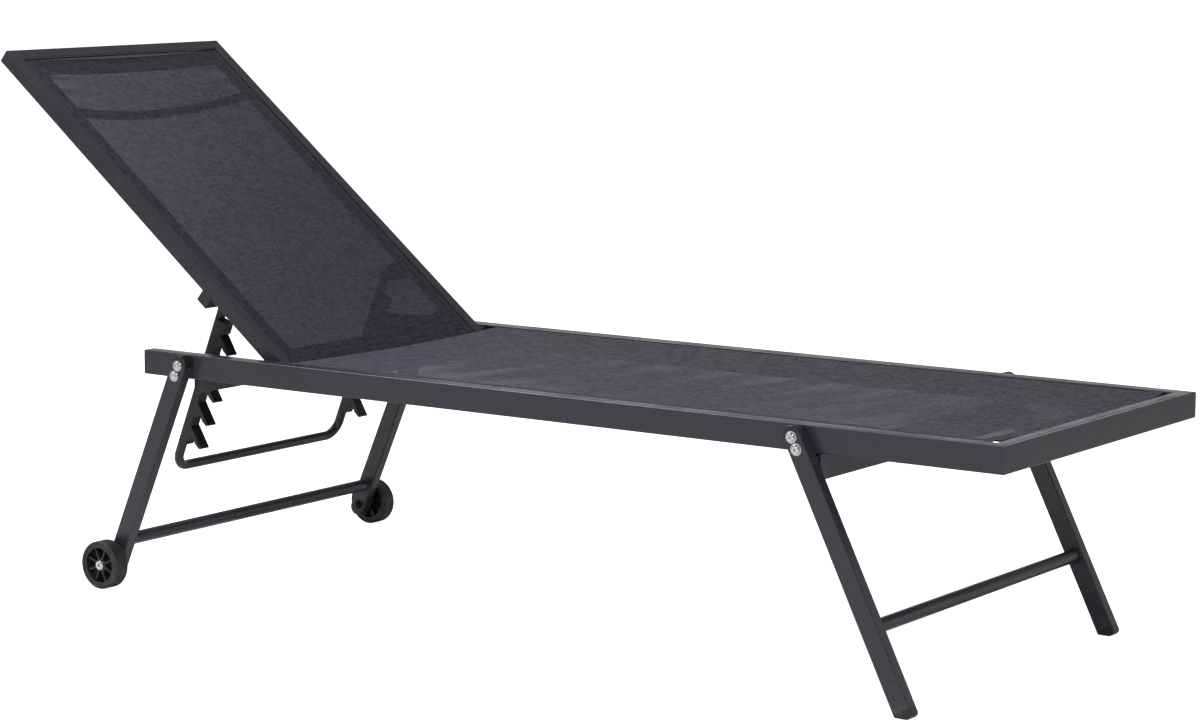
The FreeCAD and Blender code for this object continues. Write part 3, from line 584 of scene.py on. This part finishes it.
handling, start, end = new_group("handling", [("Vector", "Vector", None), ("Patch", "Float", 0.08)],
                                 [("Mask", "Float")])
per_patch = sum_up(handling, "DIVIDE", 1.0, start.outputs["Patch"])
patches = noise(handling, start.outputs["Vector"], per_patch, 4.0, 0.6)
rubbed = put(handling, "ShaderNodeVectorMath", {0: start.outputs["Vector"], 1: (60.0, 60.0, 900.0)},
             operation="MULTIPLY").outputs[0]
wiped = noise(handling, rubbed, 1.0, 2.0)
mask = sum_up(handling, "MULTIPLY_ADD", wiped, 0.35, sum_up(handling, "MULTIPLY", patches, 0.65))
handling.links.new(fade(handling, mask, 0.35, 0.68), end.inputs["Mask"])

# %% [markdown]
# Feet, tyres and lower tubes pick up a little pale dust from the ground. The group fades it out with
# height and breaks it up with noise.

# %% Ground dust group
dust, start, end = new_group("ground_dust", [("Vector", "Vector", None), ("Reach", "Float", 0.12)],
                             [("Mask", "Float")])
height = put(dust, "ShaderNodeSeparateXYZ", {0: start.outputs["Vector"]}).outputs[2]
low_down = sum_up(dust, "SUBTRACT", 1.0, sum_up(dust, "DIVIDE", height, start.outputs["Reach"]))
low_down = fade(dust, low_down, 0.0, 1.0)
broken = fade(dust, noise(dust, start.outputs["Vector"], 55.0, 5.0, 0.65), 0.42, 0.72)
dust.links.new(sum_up(dust, "MULTIPLY", low_down, broken), end.inputs["Mask"])
print("groups:", sorted(item.name for item in bpy.data.node_groups))


# %% [markdown]
# A finish starts as a material with its shader and one coordinate node. Solid finishes such as paint,
# plastic, rubber and steel only differ in colour, gloss, grain and dust, so one function builds them and
# each is called with its own values.

# %% Solid finishes
def new_material(name):
    material = bpy.data.materials.new(name)
    material.use_nodes = True
    tree = material.node_tree
    shader = next(node for node in tree.nodes if node.type == "BSDF_PRINCIPLED")
    place = tree.nodes.new("ShaderNodeTexCoord").outputs["Object"]
    return material, tree, shader, place


def placed(tree, group, links):
    """Place a node group in a material and link or set its inputs."""
    node = tree.nodes.new("ShaderNodeGroup")
    node.node_tree = group
    for key, value in links.items():
        if isinstance(value, bpy.types.NodeSocket):
            tree.links.new(value, node.inputs[key])
        else:
            node.inputs[key].default_value = value
    return node


DUST_COLOUR = (0.32, 0.29, 0.25, 1.0)
PAINT = (0.034, 0.032, 0.045)


def times(colour, factor):
    """A colour made lighter or darker."""
    return tuple(value * factor for value in colour)


def solid_finish(name, dark, light, gloss, grain_size, bump, metallic=0.0, dusty=0.0, coat=0.0):
    """Colour between dark and light, roughness between the two gloss values."""
    material, tree, shader, place = new_material(name)
    speckle = placed(tree, grain, {"Vector": place, "Size": grain_size})
    touched = placed(tree, handling, {"Vector": place}).outputs["Mask"]
    shade = sum_up(tree, "MULTIPLY_ADD", speckle.outputs["Mask"], 0.6, sum_up(tree, "MULTIPLY", touched, 0.4))
    colour = blend(tree, shade, (*dark, 1.0), (*light, 1.0))
    rough = fade(tree, touched, 0.0, 1.0, gloss[0], gloss[1])
    if dusty:
        settled = placed(tree, dust, {"Vector": place}).outputs["Mask"]
        settled = sum_up(tree, "MULTIPLY", settled, dusty)
        colour = blend(tree, settled, colour, DUST_COLOUR)
        rough = sum_up(tree, "ADD", rough, sum_up(tree, "MULTIPLY", settled, 0.4))
    tree.links.new(colour, shader.inputs["Base Color"])
    tree.links.new(rough, shader.inputs["Roughness"])
    bumped = put(tree, "ShaderNodeBump", {"Strength": bump, "Distance": grain_size * 0.2,
                                          "Height": speckle.outputs["Height"]})
    tree.links.new(bumped.outputs[0], shader.inputs["Normal"])
    shader.inputs["Metallic"].default_value = metallic
    shader.inputs["Coat Weight"].default_value = coat
    shader.inputs["Coat Roughness"].default_value = 0.2
    return material


finishes = {
    "frame_paint": solid_finish("charcoal_powder_coat", times(PAINT, 0.85), times(PAINT, 1.15),
                                (0.22, 0.34), 0.0011, 0.30, dusty=0.10),
    "black_plastic": solid_finish("moulded_black_plastic", (0.009, 0.009, 0.010), (0.016, 0.016, 0.018),
                                  (0.28, 0.45), 0.0007, 0.25, dusty=0.12),
    "wheel_plastic": solid_finish("wheel_plastic", (0.010, 0.010, 0.011), (0.018, 0.018, 0.020),
                                  (0.22, 0.38), 0.0009, 0.2, dusty=0.10),
    "tyre_rubber": solid_finish("tyre_rubber", (0.012, 0.012, 0.012), (0.022, 0.022, 0.022),
                                (0.50, 0.72), 0.0012, 0.5, dusty=0.25),
    "bright_steel": solid_finish("bright_zinc", (0.62, 0.62, 0.65), (0.80, 0.80, 0.82),
                                 (0.10, 0.24), 0.0005, 0.08, metallic=1.0),
    "plain_steel": solid_finish("turned_steel", (0.42, 0.42, 0.44), (0.58, 0.58, 0.60),
                                (0.26, 0.42), 0.0006, 0.2, metallic=1.0),
    "keder_plastic": solid_finish("keder_plastic", (0.012, 0.012, 0.012), (0.018, 0.018, 0.018),
                                  (0.45, 0.60), 0.0006, 0.2),
}
print("finishes:", sorted(finishes))


# %% [markdown]
# The cloth finish is the weave group on coordinates that lie in the sheet. A Mapping node turns them by
# the back's resting angle for the back sling. Both slings are the same cloth, but the seat's colour is set
# lighter than the back's as a painted sheen. The seat is seen almost edge-on, where coated yarn looks paler
# than this simple finish makes it.

# %% Cloth and thread finishes
def cloth_finish(name, turn, pitch, hole_alpha, cloth_colour, streaks):
    material, tree, shader, place = new_material(name)
    turned = put(tree, "ShaderNodeMapping", {"Vector": place, "Rotation": (0.0, turn, 0.0)}).outputs[0]
    woven = placed(tree, weave, {"Vector": turned, "Pitch": pitch, "Hole Alpha": hole_alpha,
                                  "Streaks": streaks})
    slow = noise(tree, turned, 9.0, 3.0)
    tone_and_painted_shade = sum_up(tree, "ADD", woven.outputs["Tone And Painted Shade"], sum_up(tree, "MULTIPLY_ADD", slow, 0.10, -0.05))
    # Low tone takes the darker colour, which paints shade into the weave's hollows.
    colour = blend(tree, fade(tree, tone_and_painted_shade, 0.0, 1.0), (*times(cloth_colour, 0.3), 1.0), (*cloth_colour, 1.0))
    tree.links.new(colour, shader.inputs["Base Color"])
    tree.links.new(woven.outputs["Alpha"], shader.inputs["Alpha"])
    tree.links.new(fade(tree, tone_and_painted_shade, 0.1, 0.9, 0.86, 0.74), shader.inputs["Roughness"])
    bumped = put(tree, "ShaderNodeBump", {"Strength": 0.5, "Distance": pitch * 0.12,
                                          "Height": woven.outputs["Height"]})
    tree.links.new(bumped.outputs[0], shader.inputs["Normal"])
    shader.inputs["Specular IOR Level"].default_value = 0.25
    shader.inputs["Sheen Weight"].default_value = 0.06
    shader.inputs["Sheen Roughness"].default_value = 0.45
    return material


# The seat's colour is lighter than the back's by a painted sheen.
SEAT_YARN_WITH_PAINTED_SHEEN = (0.082, 0.076, 0.108)
BACK_YARN = (0.035, 0.030, 0.048)
seat_weave = cloth_finish("seat_weave", 0.0, WEAVE_PITCH, 0.55, SEAT_YARN_WITH_PAINTED_SHEEN, 3.0)
back_weave = cloth_finish("back_weave", -REST_ANGLE, WEAVE_PITCH, 0.40, BACK_YARN, 5.0)
seat_hem_weave = cloth_finish("seat_hem_weave", 0.0, WEAVE_PITCH, 1.0, SEAT_YARN_WITH_PAINTED_SHEEN, 0.4)
back_hem_weave = cloth_finish("back_hem_weave", -REST_ANGLE, WEAVE_PITCH, 1.0, BACK_YARN, 0.4)

thread_finish, tree, shader, place = new_material("sewing_thread")
plies = noise(tree, place, 2600.0, 2.0)
thread_colour = blend(tree, plies, (0.030, 0.028, 0.034, 1.0), (0.080, 0.076, 0.088, 1.0))
tree.links.new(thread_colour, shader.inputs["Base Color"])
tree.links.new(fade(tree, plies, 0.3, 0.7, 0.45, 0.65), shader.inputs["Roughness"])
bumped = put(tree, "ShaderNodeBump", {"Strength": 0.5, "Distance": 0.0002, "Height": plies})
tree.links.new(bumped.outputs[0], shader.inputs["Normal"])

# %% [markdown]
# Every frame node takes the finish of its own material slot, and the pieces made here take theirs.


# %% Put the finishes on
def coat(piece, material):
    piece.data.materials.clear()
    piece.data.materials.append(material)


slot_of = {part["node"]: part["material_slot"] for part in record["subparts"]}
for name, node in frame["nodes"].items():
    slot = slot_of[name]
    coat(node, finishes[slot] if slot in finishes else seat_weave)
coat(seat_cloth, seat_weave)
coat(back_cloth, back_weave)
for piece in (seat_side_hems, seat_end_hems):
    coat(piece, seat_hem_weave)
for piece in (back_side_hems, back_end_hems):
    coat(piece, back_hem_weave)
for piece in (seat_stitches, back_stitches):
    coat(piece, thread_finish)
for piece in (base_welds, back_welds):
    coat(piece, finishes["frame_paint"])
print(len(bpy.data.materials), "materials")

# %% [markdown]
# ## Studio
# A wide pale floor and an even white surround give soft light from all sides. One large lamp hangs above.
# A compact one stands high in front, so the rounded edges of the tubes catch a thin line of light while
# their flat faces stay dark. What the camera sees of the floor and the surround is white, and what lights
# the object is dimmer, and dimmest high up.

# %% Floor and light
FLOOR_GLOW = 0.95
SURROUND_LOW, SURROUND_HIGH = 0.66, 0.20
start_fresh()
bpy.ops.mesh.primitive_plane_add(size=60.0, location=(0.0, 0.0, 0.0))
floor = bpy.context.object
floor.name = "studio_floor"
floor_material, tree, shader, place = new_material("pale_floor")
tree.links.new(blend(tree, noise(tree, place, 3.0), (0.88, 0.88, 0.88, 1.0), (0.92, 0.92, 0.92, 1.0)),
               shader.inputs["Base Color"])
shader.inputs["Roughness"].default_value = 0.9
seen = put(tree, "ShaderNodeLightPath").outputs["Is Camera Ray"]
tree.links.new(blend(tree, seen, (0.0, 0.0, 0.0, 1.0), (1.0, 1.0, 1.0, 1.0)), shader.inputs["Emission Color"])
shader.inputs["Emission Strength"].default_value = FLOOR_GLOW
coat(floor, floor_material)

world = bpy.data.worlds.new("studio")
world.use_nodes = True
bpy.context.scene.world = world
tree = world.node_tree
surround = next(node for node in tree.nodes if node.type == "BACKGROUND")
surround.inputs["Color"].default_value = (1.0, 1.0, 1.0, 1.0)
direction = put(tree, "ShaderNodeTexCoord").outputs["Generated"]
upward = put(tree, "ShaderNodeSeparateXYZ", {0: direction}).outputs[2]
tree.links.new(fade(tree, upward, 0.05, 0.50, SURROUND_LOW, SURROUND_HIGH), surround.inputs["Strength"])
backdrop = put(tree, "ShaderNodeBackground", {"Color": (1.0, 1.0, 1.0, 1.0), "Strength": 1.0})
seen = put(tree, "ShaderNodeLightPath").outputs["Is Camera Ray"]
either = put(tree, "ShaderNodeMixShader", {0: seen})
tree.links.new(surround.outputs[0], either.inputs[1])
tree.links.new(backdrop.outputs[0], either.inputs[2])
world_end = next(node for node in tree.nodes if node.type == "OUTPUT_WORLD")
tree.links.new(either.outputs[0], world_end.inputs["Surface"])
bpy.context.scene.view_settings.view_transform = "Standard"


def soft_lamp(name, location, target, size, power):
    lamp = bpy.data.objects.new(name, bpy.data.lights.new(name, "AREA"))
    lamp.data.shape = "RECTANGLE"
    lamp.data.size, lamp.data.size_y = size
    lamp.data.energy = power
    lamp.location = location
    lamp.rotation_euler = (Vector(location) - Vector(target)).to_track_quat("Z", "Y").to_euler()
    bpy.context.scene.collection.objects.link(lamp)


soft_lamp("top_lamp", (-1.9, -0.5, 3.3), (0.1, 0.0, 0.3), (2.6, 1.2), 85.0)
soft_lamp("key_lamp", (1.9, -3.0, 3.3), (0.0, 0.0, 0.3), (0.7, 0.5), 70.0)
